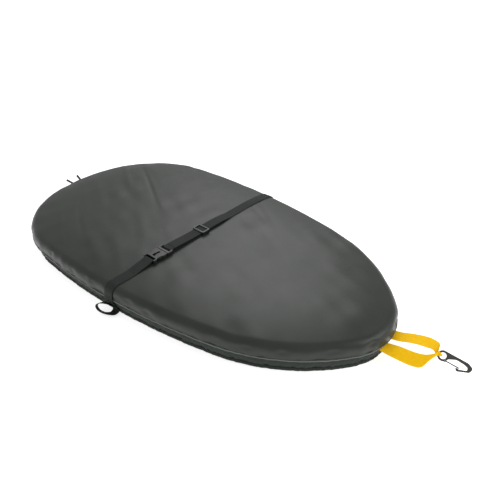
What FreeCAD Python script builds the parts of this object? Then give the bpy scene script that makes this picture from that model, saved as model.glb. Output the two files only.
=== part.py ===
"""Kayak cockpit cover, in the shape that it takes on a coaming.

A coated-fabric deck panel is drawn over the cockpit rim. Below its seam an elasticated band runs down to a hem
tunnel with a shock cord in it, which grips under the rim and is knotted at the stern. A webbing strap with a
side-release buckle and a slider crosses the deck, a webbing pull loop is sewn under it at the near side, and a
yellow grab loop at the nose carries a plastic snap hook.

Millimetres. +X points to the nose, +Z up, z = 0 is the plane that the hem rests on, and the origin is the middle
of the cover's length and width. The cover is egg-shaped: its outline is a chain of tangent arcs.
"""
import FreeCAD, Part
import math
import os

V = FreeCAD.Vector
UP = V(0, 0, 1)

# ---- driving dimensions ----
# outline, seen from above
length = 915.0
width = 505.0
widest_x = -130.0          # station of the greatest width, behind the middle
nose_radius = 121.0
bow_radius = 371.0
flank_radius = 1500.0
quarter_radius = 226.0
stern_radius = 328.0

# deck panel
fabric = 1.2               # coated fabric
deck_top = 70.0            # height of the flat middle
shoulder_radius = 18.0
crown_run = 110.0          # from the outline in to where the deck is flat
crown_slope = 7.5          # degrees, where the crown leaves the shoulder

# seam, band and hem
seam_height = 36.0
seam_lap = 10.0            # the band's turn-up inside the deck's wall
layer_gap = 0.15           # between layers of fabric and webbing
thread_gap = 0.05          # under a row of stitching
piping_radius = 1.2
hem_inset = 12.0           # outline in to the middle of the hem tunnel
hem_width = 12.0
hem_height = 10.0
hem_corner = 4.0
hem_mouth = 44.0           # gap in the tunnel at the stern, where the cord comes out

# shock cord
cord_diameter = 6.0
cord_clearance = 0.3
cord_bend = 15.0           # radius of the bend out of the tunnel
cord_bend_angle = 45.0
cord_run_to_knot = 12.0
knot_size = (9.0, 11.0, 7.3)   # half axes of the knot
knot_lift = 7.5            # height of the knot's middle
knot_clearance = 0.1

# webbing
webbing = 25.0
web = 1.3                  # thickness
strap_gap = 0.2            # over the deck
strap_station = 0.0        # where the strap crosses, along X
lift_off_y = -190.0        # where the near strap leaves the deck for the buckle
strap_foot = 14.5          # height of the strap's lower ends

# buckle, along +Y from its near end
buckle_y = -149.0
buckle_rest = 0.3          # under the buckle
socket_length = 36.0
buckle_width = 33.0
buckle_thick = 9.0
buckle_wall = 2.0
side_wall = 3.3
socket_bar = 3.2
socket_slot = 5.0
window_start = 9.0
window_end = 21.8
plug_gap = 0.6             # socket's mouth to the plug's shoulder
plug_shoulder = 5.6
plug_slot = 6.0
plug_bar = 4.0
guide_width = 4.6
prong_root_x = 9.6
prong_arm = 3.2
prong_reach = 26.0         # hinge to tip
prong_catch = 16.0         # half width over the prongs' heads
part_clearance = 0.25      # between moulded pieces that move
moulding_round = 0.8
release_travel = 35.0

# slider
slider_y = 0.0
slider_length = 22.0
slider_width = 33.0
slider_rail = 3.2
slider_bar = 3.5
slider_core = 5.0
slider_core_thick = 1.5
slider_bar_thick = 1.8
slider_travel = 35.0
ramp = 34.0                # length over which the strap comes down to the deck past the slider

# grab loop and snap hook
grab_root_y = 18.5         # far leg; the near leg mirrors it
grab_root_z = 30.0
grab_gap = 0.3             # from the root to the band
hook_eye = V(542.2, 23.0, 33.5)     # middle of the hook's eye
hook_yaw = 8.0
hook_pitch = 3.0
hook_roll = 46.0
hook_thick = 4.6
eye_outer = 9.2
eye_inner = 5.5
gate_pivot = (6.4, -6.3)
gate_tip = (29.0, -8.7)
gate_knuckle = 1.5
gate_boss = 1.2            # wall round the knuckle
gate_thick = 2.0

# pull loop under the near end of the strap
pull_width = 19.0
pull_facing = V(0.53, -0.63, 0.57)  # the way that the loop's hole looks

# tails of the shock cord: points of each route, from the knot to the cut end
tail_left = [V(-466.5, 5.0, 10.5), V(-476.0, 6.0, 33.0), V(-487.0, -1.5, 56.0)]
tail_right = [V(-466.5, -5.0, 10.5), V(-486.0, -9.0, 28.0), V(-505.0, -25.0, 45.0)]

# ---- worked out from these ----
half_web = webbing / 2
crown_angle = math.radians(crown_slope)
crown_radius = shoulder_radius + (crown_run - shoulder_radius) / math.sin(crown_angle)
shoulder_z = deck_top - crown_radius + (crown_radius - shoulder_radius) * math.cos(crown_angle)
buckle_z = deck_top + buckle_rest
buckle_top = buckle_z + buckle_thick
plug_y = buckle_y + socket_length + plug_gap
plug_bar_y = plug_y + plug_shoulder + plug_slot
bar_low = buckle_z + 2.6
bar_high = buckle_z + 6.4
return_low = deck_top + strap_gap
core_low = return_low + web + layer_gap
core_high = core_low + slider_core_thick
strap_level = core_high + web + 2 * layer_gap      # underside of the strap where the slider travels


# ---- plan outline ----
def meeting_point(a, reach_a, b, reach_b):
    """The point, on the +Y side, that lies reach_a from a and reach_b from b."""
    apart = b - a
    d = apart.Length
    along = (reach_a ** 2 - reach_b ** 2 + d ** 2) / (2 * d)
    aside = math.sqrt(reach_a ** 2 - along ** 2)
    unit = apart / d
    found = [a + unit * along + V(-unit.y, unit.x, 0) * aside * side for side in (1, -1)]
    return max(found, key=lambda p: p.y)


def heading(start, end):
    return math.degrees(math.atan2(end.y - start.y, end.x - start.x))


nose = V(length / 2 - nose_radius, 0, 0)
stern = V(-length / 2 + stern_radius, 0, 0)
flank = V(widest_x, width / 2 - flank_radius, 0)
bow = meeting_point(nose, bow_radius - nose_radius, flank, flank_radius - bow_radius)
quarter = meeting_point(flank, flank_radius - quarter_radius, stern, stern_radius - quarter_radius)
turns = [heading(bow, nose), heading(flank, bow), heading(flank, quarter), heading(stern, quarter)]


def mirrored(centre, radius, start, end):
    return V(centre.x, -centre.y, 0), radius, 360 - end, 360 - start


port = [
    (bow, bow_radius, turns[0], turns[1]),
    (flank, flank_radius, turns[1], turns[2]),
    (quarter, quarter_radius, turns[2], turns[3]),
]
nose_arc = (nose, nose_radius, -turns[0], turns[0])
stern_arc = (stern, stern_radius, turns[3], 360 - turns[3])
all_arcs = [nose_arc] + port + [stern_arc] + [mirrored(*arc) for arc in reversed(port)]
near_flank = mirrored(*port[1])
far_flank = port[1]


def outline_half_width(x):
    """Half the cover's width at a station on the flank."""
    return flank.y + math.sqrt(flank_radius ** 2 - (x - flank.x) ** 2)


# ---- small tools ----
def on_circle(centre, radius, degrees):
    a = math.radians(degrees)
    return centre + V(math.cos(a), math.sin(a), 0) * radius


def box(x0, x1, y0, y1, z0, z1):
    return Part.makeBox(x1 - x0, y1 - y0, z1 - z0, V(x0, y0, z0))


def fused(shapes):
    """One tidy solid from several that overlap or share faces."""
    whole = shapes[0].fuse(shapes[1:]) if len(shapes) > 1 else shapes[0]
    whole = whole.removeSplitter()
    return whole.Solids[0] if len(whole.Solids) == 1 else whole


def rounded_face(points, radii):
    """A face with a corner at each point, rounded by its radius. A radius of 0 leaves the corner sharp."""
    starts, ends, arcs = [], [], []
    count = len(points)
    for i, (corner, radius) in enumerate(zip(points, radii)):
        back = (points[i - 1] - corner).normalize()
        ahead = (points[(i + 1) % count] - corner).normalize()
        if radius == 0:
            starts.append(corner)
            ends.append(corner)
            arcs.append(None)
            continue
        half = back.getAngle(ahead) / 2
        cut = radius / math.tan(half)
        middle = corner + (back + ahead).normalize() * (radius / math.sin(half) - radius)
        starts.append(corner + back * cut)
        ends.append(corner + ahead * cut)
        arcs.append(Part.Arc(starts[i], middle, ends[i]).toShape())
    edges = []
    for i in range(count):
        if arcs[i]:
            edges.append(arcs[i])
        after = starts[(i + 1) % count]
        if (after - ends[i]).Length > 1e-6:
            edges.append(Part.LineSegment(ends[i], after).toShape())
    return Part.Face(Part.Wire(Part.__sortEdges__(edges)))


def plate(points, radii, thick):
    """A flat plate in the XY plane with rounded corners, thick along +Z."""
    flat = [V(x, y, 0) for x, y in points]
    return rounded_face(flat, radii).extrude(V(0, 0, thick))


def strip(points, thick, half_width, middle_x=strap_station):
    """A flat strap along a path of (y, z) points, which run along its underside, thick upwards."""
    low = [V(middle_x - half_width, y, z) for y, z in points]
    high = [V(middle_x - half_width, y, z + thick) for y, z in reversed(points)]
    wire = Part.makePolygon(low + high + [low[0]])
    return Part.Face(wire).extrude(V(2 * half_width, 0, 0))


def swept(face, arcs):
    """A profile carried round the outline. Its x is the distance outwards from the outline, and its y the height."""
    parts = []
    for centre, radius, start, end in arcs:
        upright = face.copy()
        upright.rotate(V(0, 0, 0), V(1, 0, 0), 90)
        upright.translate(V(radius, 0, 0))
        upright.rotate(V(0, 0, 0), UP, start)
        upright.translate(centre)
        parts.append(upright.revolve(centre, UP, end - start))
    return fused(parts)


def plan_face(inset, z):
    """The outline, moved in by inset, as a flat face at height z."""
    edges = []
    for centre, radius, start, end in all_arcs:
        at = [on_circle(centre, radius - inset, a) + V(0, 0, z) for a in (start, (start + end) / 2, end)]
        edges.append(Part.Arc(*at).toShape())
    return Part.Face(Part.Wire(Part.__sortEdges__(edges)))


def softened(shape, radius, chosen):
    """Rounds the edges that chosen() picks, as far as the kernel can."""
    return shape.makeFillet(radius, [e for e in shape.Edges if chosen(e)])


def on_level(edge, *levels):
    """True for an edge that lies flat at one of these heights."""
    box_of = edge.BoundBox
    return box_of.ZLength < 1e-4 and any(abs(box_of.ZMin - z) < 1e-4 for z in levels)


# ---- the cover's skin ----
def skin_line(depth, foot, end_inset=crown_run):
    """Edges of the skin's line at a depth inside it, from height foot up the wall, over the shoulder and along the
    crown to end_inset from the outline, with its two end points."""
    centre = V(-shoulder_radius, shoulder_z, 0)
    crown_centre = V(-crown_run, deck_top - crown_radius, 0)
    lean = 90 - crown_slope
    reach = crown_radius - depth
    end_angle = 90 - math.degrees(math.asin((crown_run - end_inset) / reach))
    start = V(-depth, foot, 0)
    wall_top = V(-depth, shoulder_z, 0)
    shoulder = [on_circle(centre, shoulder_radius - depth, a) for a in (0, lean / 2, lean)]
    crown = [on_circle(crown_centre, reach, a) for a in (lean, (lean + end_angle) / 2, end_angle)]
    edges = [
        Part.LineSegment(start, wall_top).toShape(),
        Part.Arc(*shoulder).toShape(),
        Part.Arc(*crown).toShape(),
    ]
    return edges, start, crown[2]


def skin_profile(outer_depth, inner_depth, foot, end_inset=crown_run):
    outer, outer_foot, outer_end = skin_line(outer_depth, foot, end_inset)
    inner, inner_foot, inner_end = skin_line(inner_depth, foot, end_inset)
    closing = [
        Part.LineSegment(outer_foot, inner_foot).toShape(),
        Part.LineSegment(outer_end, inner_end).toShape(),
    ]
    return Part.Face(Part.Wire(Part.__sortEdges__(outer + inner + closing)))


def deck_panel():
    rim = swept(skin_profile(0, fabric, seam_height), all_arcs)
    middle = plan_face(crown_run, deck_top - fabric).extrude(V(0, 0, fabric))
    return fused([rim, middle])


band_outer = -(fabric + layer_gap)
band_foot = hem_height + layer_gap
band_in = -(hem_inset - hem_width / 4)      # where the band lands on the tunnel
band_knee = seam_height - 3
band_slope = (band_outer - band_in) / (band_knee - band_foot)
band_radius_at_root = nose_radius + band_outer - (band_knee - grab_root_z) * band_slope


def rim_band():
    """Elasticated band: lapped inside the deck's wall, then down and in to the hem tunnel."""
    points = [
        V(band_outer, seam_height + seam_lap, 0),
        V(band_outer, band_knee, 0),
        V(band_in, band_foot, 0),
        V(band_in - fabric, band_foot, 0),
        V(band_outer - fabric, band_knee, 0),
        V(band_outer - fabric, seam_height + seam_lap, 0),
    ]
    return swept(rounded_face(points, [0, 3, 0, 0, 3, 0]), all_arcs)


def seam_piping():
    ring = Part.Circle(V(0, seam_height - piping_radius - layer_gap, 0), UP, piping_radius).toShape()
    return swept(Part.Face(Part.Wire(ring)), all_arcs)


def stern_slot(half_gap, high=40):
    """A block across the stern that opens a ring there."""
    return box(-length / 2 - 5, stern.x, -half_gap, half_gap, -1, high)


def hem_tunnel():
    half = hem_width / 2
    corners = [
        V(-hem_inset + side * half, z, 0)
        for side, z in ((-1, 0), (1, 0), (1, hem_height), (-1, hem_height))
    ]
    sleeve = rounded_face(corners, [hem_corner] * 4)
    bore = Part.Circle(V(-hem_inset, hem_height / 2, 0), UP, cord_diameter / 2 + cord_clearance).toShape()
    tube = swept(sleeve.cut(Part.Face(Part.Wire(bore))).Faces[0], all_arcs)
    return tube.cut(stern_slot(hem_mouth / 2))


# ---- shock cord ----
cord_x = -length / 2 + hem_inset             # the cord's middle line at the stern
bend_turn = math.radians(cord_bend_angle)
knot_middle = V(
    cord_x - cord_bend * (1 - math.cos(bend_turn)) - cord_run_to_knot * math.sin(bend_turn) - 1,
    0,
    knot_lift,
)


def knot_body(larger=0):
    ball = Part.makeSphere(1)
    stretch = FreeCAD.Matrix()
    stretch.scale(*[half + larger for half in knot_size])
    ball = ball.transformGeometry(stretch)
    ball.translate(knot_middle)
    return ball


def cord_end(side):
    """The cord from the tunnel's mouth, bent outwards and on into the knot."""
    bend_y = hem_mouth / 2 - 1
    start = V(cord_x, side * bend_y, hem_height / 2)
    middle = start + V(-cord_bend, 0, 0)
    turns_to = middle + V(math.cos(bend_turn), -side * math.sin(bend_turn), 0) * cord_bend
    half_turn = middle + V(math.cos(bend_turn / 2), -side * math.sin(bend_turn / 2), 0) * cord_bend
    ahead = V(-math.sin(bend_turn), -side * math.cos(bend_turn), 0)
    path = Part.Wire([
        Part.Arc(start, half_turn, turns_to).toShape(),
        Part.LineSegment(turns_to, turns_to + ahead * cord_run_to_knot).toShape(),
    ])
    section = Part.Wire(Part.Circle(start, V(0, 1, 0), cord_diameter / 2).toShape())
    return path.makePipeShell([section], True, True)


def shock_cord():
    """The ring in the tunnel, and its two ends up to the knot."""
    section = Part.Circle(V(-hem_inset, hem_height / 2, 0), UP, cord_diameter / 2).toShape()
    ring = swept(Part.Face(Part.Wire(section)), all_arcs)
    ring = ring.cut(stern_slot(hem_mouth / 2 - 1))
    return fused([ring, cord_end(1), cord_end(-1)]).cut(knot_body(knot_clearance))


def tail(route):
    """A round cord along straight runs joined by tangent arcs, starting at the knot."""
    edges, last, radii = [], route[0], []
    for before, corner, after in zip(route, route[1:], route[2:]):
        back, ahead = before - corner, after - corner
        shorter = min(back.Length, ahead.Length)
        half = back.getAngle(ahead) / 2
        cut = 0.45 * shorter
        radius = cut * math.tan(half)
        radii.append(round(radius, 1))
        back.normalize()
        ahead.normalize()
        middle = corner + (back + ahead).normalize() * (radius / math.sin(half) - radius)
        edges.append(Part.LineSegment(last, corner + back * cut).toShape())
        edges.append(Part.Arc(corner + back * cut, middle, corner + ahead * cut).toShape())
        last = corner + ahead * cut
    edges.append(Part.LineSegment(last, route[-1]).toShape())
    path = Part.Wire(edges)
    section = Part.Wire(Part.Circle(route[0], route[1] - route[0], cord_diameter / 2).toShape())
    tube = path.makePipeShell([section], True, True)
    plain = math.pi * cord_diameter ** 2 / 4 * path.Length
    print("tail: radii", radii, "length", round(path.Length, 1), "volume ratio", round(tube.Volume / plain, 4))
    return tube.cut(knot_body(knot_clearance))


# ---- strap ----
def over_edge(arc, side):
    """The strap where it lies over the cover's edge: hem, seam, wall, shoulder and crown."""
    outer, outer_foot, outer_end = skin_line(-strap_gap - web, shoulder_z - 4)
    inner, inner_foot, inner_end = skin_line(-strap_gap, shoulder_z - 4)
    clear_seam = piping_radius + 3 * strap_gap
    hem_face = -hem_inset + hem_width / 2 + strap_gap
    inner_low = [V(clear_seam, seam_height - 1, 0), V(hem_face, strap_foot, 0)]
    outer_low = [p + V(web, 0, 0) for p in inner_low]
    lines = [
        (outer_foot, outer_low[0]),
        (outer_low[0], outer_low[1]),
        (outer_low[1], inner_low[1]),
        (inner_low[1], inner_low[0]),
        (inner_low[0], inner_foot),
        (outer_end, inner_end),
    ]
    edges = outer + inner + [Part.LineSegment(a, b).toShape() for a, b in lines]
    centre, radius, _, _ = arc
    crossing = math.degrees(math.asin((strap_station - centre.x) / radius))
    middle = 90 - crossing if side > 0 else -90 + crossing
    short_arc = (centre, radius, middle - 1.2, middle + 1.2)
    whole = swept(Part.Face(Part.Wire(Part.__sortEdges__(edges))), [short_arc])
    edge_y = outline_half_width(strap_station)
    stop = abs(lift_off_y) if side < 0 else edge_y - crown_run + 2
    far = edge_y + 20
    y0, y1 = (stop, far) if side > 0 else (-far, -stop)
    return whole.common(box(strap_station - half_web, strap_station + half_web, y0, y1, 0, 100))


def ring_round(y0, y1, z0, z1, open_side=None, leg=0):
    """Webbing wrapped round a bar's section: a closed loop, or a U with legs towards +Y."""
    gap, t = layer_gap, web
    inner_end = y1 + gap if open_side is None else y1 + leg
    inner = [V(0, y0 - gap, z0 - gap), V(0, inner_end, z0 - gap), V(0, inner_end, z1 + gap), V(0, y0 - gap, z1 + gap)]
    outer_end = inner_end + t if open_side is None else inner_end
    outer = [
        V(0, y0 - gap - t, z0 - gap - t),
        V(0, outer_end, z0 - gap - t),
        V(0, outer_end, z1 + gap + t),
        V(0, y0 - gap - t, z1 + gap + t),
    ]
    soft = t + 0.7
    far_corner = soft if open_side is None else 0
    inside = 0.3 if open_side is None else 0
    hole = rounded_face(inner, [0.3, inside, inside, 0.3])
    face = rounded_face(outer, [soft, far_corner, far_corner, soft]).cut(hole)
    solid = face.extrude(V(webbing, 0, 0))
    solid.translate(V(strap_station - half_web, 0, 0))
    return solid


fold_leg = 7.0
fold_end = plug_bar_y + plug_bar + fold_leg
upper_start = bar_high + layer_gap
lower_start = bar_low - layer_gap - web
slider_near = slider_y - slider_length / 2 - 3
slider_far = slider_y + slider_length / 2 + slider_travel + 6


def skin_height(y):
    """Height of the deck's skin over the strap's station at a distance y across."""
    inset = outline_half_width(strap_station) - abs(y)
    if inset >= crown_run:
        return deck_top
    return deck_top - crown_radius + math.sqrt(crown_radius ** 2 - (crown_run - inset) ** 2)


def strap_near():
    """From the near edge over the shoulder, up off the deck and sewn round the socket's bar."""
    bar = (buckle_y, buckle_y + socket_bar, bar_low, bar_high)
    loop = ring_round(*bar)
    landing = (bar_low + bar_high) / 2 - web / 2
    start = (lift_off_y - 0.5, skin_height(lift_off_y - 0.5) + strap_gap)
    rise = strip([start, (buckle_y - layer_gap - web / 2, landing)], web, half_web)
    tongue = strip([(buckle_y - 24, landing - web - 1.0), (buckle_y - layer_gap - web / 2, landing - web)], web, half_web)
    return fused([over_edge(near_flank, -1), rise, tongue, loop])


def strap_far():
    """From the far edge over the crown, flat on the deck, then up to the level where the slider travels."""
    edge_inner = outline_half_width(strap_station) - crown_run + 2.5
    path = [
        (slider_near, strap_level),
        (slider_far, strap_level),
        (slider_far + ramp, return_low),
        (edge_inner, return_low),
    ]
    return fused([over_edge(far_flank, 1), strip(path, web, half_web)])


def strap_adjuster_upper():
    path = [(fold_end + layer_gap, upper_start), (slider_near - layer_gap, strap_level)]
    return strip(path, web, half_web)


def strap_fold():
    """The turn of the webbing round the plug's bar."""
    return ring_round(plug_bar_y, plug_bar_y + plug_bar, bar_low, bar_high, "far", fold_leg)


def strap_return():
    """Lower layer, from the fold back under the strap to a sewn loop round the slider's middle bar."""
    half = slider_core / 2
    loop = ring_round(slider_y - half, slider_y + half, core_low, core_high)
    path = [
        (fold_end + layer_gap, lower_start),
        (fold_end + 20, return_low),
        (slider_y - half, return_low),
    ]
    return fused([strip(path, web, half_web), loop])


# ---- buckle ----
def socket():
    """Female half: web slot at the near end, open mouth at the far end, and a window in each side."""
    half = buckle_width / 2
    corners = [(-half, 0), (half, 0), (half, window_start - 2), (half - 2.4, window_start + 2),
               (half - 2.4, window_end - 2), (half, window_end + 2), (half, socket_length),
               (-half, socket_length), (-half, window_end + 2), (-half + 2.4, window_end - 2),
               (-half + 2.4, window_start + 2), (-half, window_start - 2)]
    radii = [2.5, 2.5, 2, 2, 2, 2, 2.5, 2.5, 2, 2, 2, 2]
    body = plate(corners, radii, buckle_thick)
    body = softened(body, 1.4, lambda e: on_level(e, 0, buckle_thick))
    room = half - side_wall
    cavity = box(-room, room, socket_bar + socket_slot + 1.5, socket_length + 1, buckle_wall, buckle_thick - buckle_wall)
    windows = box(-half - 1, half + 1, window_start, window_end, buckle_wall, buckle_thick - buckle_wall)
    slot = box(-half_web - 0.6, half_web + 0.6, socket_bar, socket_bar + socket_slot, -1, buckle_thick + 1)
    thin_bar = [
        box(-half_web - 0.6, half_web + 0.6, -1, socket_bar + 0.1, -1, bar_low - buckle_z),
        box(-half_web - 0.6, half_web + 0.6, -1, socket_bar + 0.1, bar_high - buckle_z, buckle_thick + 1),
    ]
    sight = plate([(-4, 12.5), (4, 12.5), (2.6, 30), (-2.6, 30)], [1.5, 1.5, 1.2, 1.2], buckle_thick)
    sight.translate(V(0, 0, buckle_thick - buckle_wall - 0.5))
    body = body.cut([cavity, windows, slot, sight] + thin_bar)
    body.translate(V(strap_station, buckle_y, buckle_z))
    return body


hinge_y = plug_gap + prong_arm / 2 - 1.2     # ahead of the plug's shoulder, measured back from it
prong_low = buckle_wall + part_clearance
prong_high = buckle_thick - buckle_wall - part_clearance


def prong_pivot(side):
    return V(strap_station + side * prong_root_x, plug_y - hinge_y, buckle_z)


def plug():
    """Male half: shoulder, web slot and bar, the middle guide, and a seat for each prong's root."""
    half = buckle_width / 2
    back = plug_shoulder + plug_slot + plug_bar
    frame = plate([(-half, 0), (half, 0), (half, back), (-half, back)], [1.5, 1.5, 3.5, 3.5], buckle_thick - 1)
    frame = softened(frame, 1.2, lambda e: on_level(e, 0, buckle_thick - 1))
    frame.translate(V(0, 0, 0.5))
    slot = box(-half_web - 0.6, half_web + 0.6, plug_shoulder, plug_shoulder + plug_slot, -1, buckle_thick + 1)
    low, high = bar_low - buckle_z, bar_high - buckle_z
    thin_bar = [
        box(-half_web - 0.6, half_web + 0.6, plug_shoulder, back + 1, -1, low),
        box(-half_web - 0.6, half_web + 0.6, plug_shoulder, back + 1, high, buckle_thick + 1),
    ]
    frame = frame.cut([slot] + thin_bar)
    guide_tip = socket_length - 17
    guide = plate(
        [(-guide_width / 2, 1), (-guide_width / 2, -guide_tip), (guide_width / 2, -guide_tip), (guide_width / 2, 1)],
        [0, 1.8, 1.8, 0],
        prong_high - prong_low,
    )
    guide.translate(V(0, 0, prong_low))
    bridge_half = prong_root_x + prong_arm
    bridge = box(-bridge_half, bridge_half, -plug_gap - 2.6, 0.8, prong_low, prong_high)
    whole = fused([frame, guide, bridge])
    whole.translate(V(strap_station, plug_y, buckle_z))
    seats = []
    for side in (1, -1):
        pivot = prong_pivot(side)
        seats.append(Part.makeCylinder(prong_arm / 2 + part_clearance, buckle_thick, pivot))
        outer = strap_station + side * (bridge_half + 1)
        inner = pivot.x - side * (prong_arm / 2 + part_clearance + 1.4)
        y_low = pivot.y - 6
        seats.append(box(min(outer, inner), max(outer, inner), y_low, pivot.y, buckle_z, buckle_top))
    return whole.cut(seats)


def prong(side):
    """One side prong: a round root, a slim arm, and a head that catches behind the socket's window."""
    arm = prong_arm / 2
    reach = prong_catch - prong_root_x
    head_start = plug_y - hinge_y - (buckle_y + window_end) + part_clearance
    points = [
        (-arm, 0), (arm, 0), (arm - 0.4, -head_start), (reach, -head_start - 0.3),
        (reach - 0.6, -head_start - 5), (arm - 0.6, -prong_reach), (-arm + 0.2, -prong_reach + 1.5),
        (-arm, -head_start - 4),
    ]
    body = plate([(side * x, y) for x, y in points], [0, 0, 1.0, 0.8, 3.0, 1.2, 1.0, 4.0], prong_high - prong_low)
    root = Part.makeCylinder(arm, prong_high - prong_low)
    whole = fused([body, root])
    whole = softened(whole, 0.5, lambda e: on_level(e, 0, prong_high - prong_low))
    whole.translate(prong_pivot(side) + V(0, 0, prong_low))
    return whole


# ---- slider ----
def tri_glide():
    """Frame with two outer bars over the strap and a lower middle bar under it."""
    half, end = slider_width / 2, slider_length / 2
    top = strap_level + web + layer_gap
    low = core_low - 0.3
    block = plate([(-half, -end), (half, -end), (half, end), (-half, end)], [3] * 4, top + slider_bar_thick - low)
    block = softened(block, 0.9, lambda e: on_level(e, top + slider_bar_thick - low))
    block.translate(V(0, 0, low))
    room = half - slider_rail
    tunnel = box(-room, room, -end - 1, end + 1, low - 1, top)
    window = box(-room, room, -end + slider_bar, end - slider_bar, low - 1, top + slider_bar_thick + 1)
    core = box(-room - 0.5, room + 0.5, -slider_core / 2, slider_core / 2, core_low, core_high)
    whole = fused([block.cut([tunnel, window]), core])
    whole.translate(V(strap_station, slider_y, 0))
    return whole


# ---- ribbons ----
def ribbon(sections):
    """A soft strap through a row of flat sections: (middle, way across, face normal, width, thickness)."""
    wires = []
    for middle, across, normal, wide, thick in sections:
        a = V(across).normalize()
        n = (normal - a * normal.dot(a)).normalize() * (thick / 2)
        a = a * (wide / 2)
        wires.append(Part.makePolygon([middle - a - n, middle + a - n, middle + a + n, middle - a + n, middle - a - n]))
    return Part.makeLoft(wires, True, True)


def turned(vector, axis, degrees):
    return FreeCAD.Rotation(axis, degrees).multVec(vector)


hook_along = V(
    math.cos(math.radians(hook_yaw)) * math.cos(math.radians(hook_pitch)),
    math.sin(math.radians(hook_yaw)) * math.cos(math.radians(hook_pitch)),
    -math.sin(math.radians(hook_pitch)),
)
hook_level = UP.cross(hook_along).normalize()
hook_across = turned(hook_level, hook_along, hook_roll)      # from the gate's side to the spine's
hook_normal = hook_along.cross(hook_across)


def grab_loop():
    """Yellow webbing from the far root, gathered through the hook's eye, and back to the near root."""
    bundle = 3.4
    root = band_radius_at_root + grab_gap
    lean = math.asin(grab_root_y / root)
    root_x = nose.x + root * math.cos(lean)
    half = eye_inner - 2.7
    wrap = [(-8.4, 4.5, 0), (-5.2, 4.4, 0), (-3.5, 3.6, 45), (-half, 0, 90)]     # along, aside, turn round the wire

    def root_section(side, upright):
        across = V(-side * math.sin(lean), math.cos(lean), 0)
        return V(root_x, side * grab_root_y, grab_root_z), across, upright, webbing, web

    def wrap_section(along, aside, degrees, side):
        turn = math.radians(degrees)
        middle = hook_eye + hook_along * along + hook_normal * (side * aside)
        outward = hook_normal * (side * math.cos(turn)) + hook_along * math.sin(turn)
        return middle, hook_across, outward, 4.4 + 2.6 * math.cos(turn) ** 4, bundle

    far_leg = [
        root_section(1, -UP),
        (V(root_x + 12, 20.5, grab_root_z + 1), V(-0.15, 1, 0), -UP, webbing, web),
        (V(root_x + 33, 28.5, grab_root_z + 4), V(-0.3, 0.95, 0), -UP, webbing, web),
        (V(root_x + 56, 35, grab_root_z + 5), V(-0.25, 0.95, 0.1), V(0, 0.1, -1), webbing - 1, web),
        (V(root_x + 71, 34.5, grab_root_z + 4), V(0.3, 0.9, 0.25), V(0, 0.25, -1), webbing - 8, web + 0.7),
    ]
    near_leg = [
        (V(root_x + 75, 10.5, grab_root_z + 4.5), V(0.1, 0.7, 0.6), V(0, -0.65, 0.7), webbing - 12, web + 1.0),
        (V(root_x + 65, -4, grab_root_z - 1.5), V(-0.15, 0.8, 0.6), V(0, -0.6, 0.8), webbing - 2, web),
        (V(root_x + 48, -11, grab_root_z - 2), V(-0.15, 0.85, 0.5), V(0, -0.5, 0.85), webbing, web),
        (V(root_x + 26, -15.5, grab_root_z), V(-0.12, 0.92, 0.36), V(0, -0.36, 0.92), webbing, web),
        (V(root_x + 10, -17.5, grab_root_z), V(0.05, 0.98, 0.15), V(0, -0.15, 1), webbing, web),
        root_section(-1, UP),
    ]
    turn_in = [wrap_section(*step, -1) for step in wrap]
    turn_out = [wrap_section(*step, 1) for step in reversed(wrap[:-1])]
    return ribbon(far_leg + turn_in + turn_out + near_leg)


def pull_loop():
    """Webbing loop outside the hem. Its first end lies on the hem and runs up, out and round; the second comes back
    over the first."""
    turn = math.asin((strap_station - flank.x) / flank_radius)
    along_edge = V(math.cos(turn), math.sin(turn), 0)
    out = V(math.sin(turn), -math.cos(turn), 0)
    face_y = -outline_half_width(strap_station) + hem_inset - hem_width / 2
    first = face_y - 2 * layer_gap - web / 2
    second = first - layer_gap - web
    facing = V(pull_facing).normalize()
    sections = [
        (V(0, first, 3.4), along_edge, -out, pull_width, web),
        (V(0, first - 0.1, 11.2), along_edge, -out, pull_width, web),
        (V(-4, first - 3.4, 15.6), V(0.95, -0.2, 0.3), V(0, 0.5, 0.85), pull_width - 2, web),
        (V(-15, -253, 21.5), V(0.75, -0.5, 0.45), V(-0.3, 0.15, 0.95), pull_width - 3, web),
        (V(-25, -260.5, 20.5), facing, V(-0.72, -0.1, 0.69), pull_width - 3, web),
        (V(-29, -264.5, 14.5), facing, V(-0.8, -0.6, 0), pull_width - 3, web),
        (V(-23, -265.5, 8.4), facing, V(-0.55, -0.33, -0.77), pull_width - 3, web),
        (V(-11, -263.5, 6.3), V(0.6, -0.6, 0.5), V(0, -0.25, -0.97), pull_width - 3, web),
        (V(0, -257.5, 5.4), V(0.85, -0.42, 0.3), V(0.1, -0.1, -0.98), pull_width - 3, web),
        (V(3, -251.4, 4.6), V(1, -0.15, 0.1), V(0, 0.3, -0.95), pull_width - 1, web),
        (V(2.5, second - 0.9, 6.0), along_edge, V(0, 0.85, -0.5), pull_width, web),
        (V(2, second, 10.3), along_edge, -out, pull_width, web),
    ]
    return ribbon(sections)


# ---- snap hook ----
def placed_hook(shape):
    """From the hook's own plane, with its eye at the origin, to its place on the grab loop."""
    frame = FreeCAD.Matrix(
        hook_along.x, hook_across.x, hook_normal.x, hook_eye.x,
        hook_along.y, hook_across.y, hook_normal.y, hook_eye.y,
        hook_along.z, hook_across.z, hook_normal.z, hook_eye.z,
        0, 0, 0, 1,
    )
    moved = shape.copy()
    moved.Placement = FreeCAD.Placement(frame).multiply(shape.Placement)
    return moved


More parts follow.
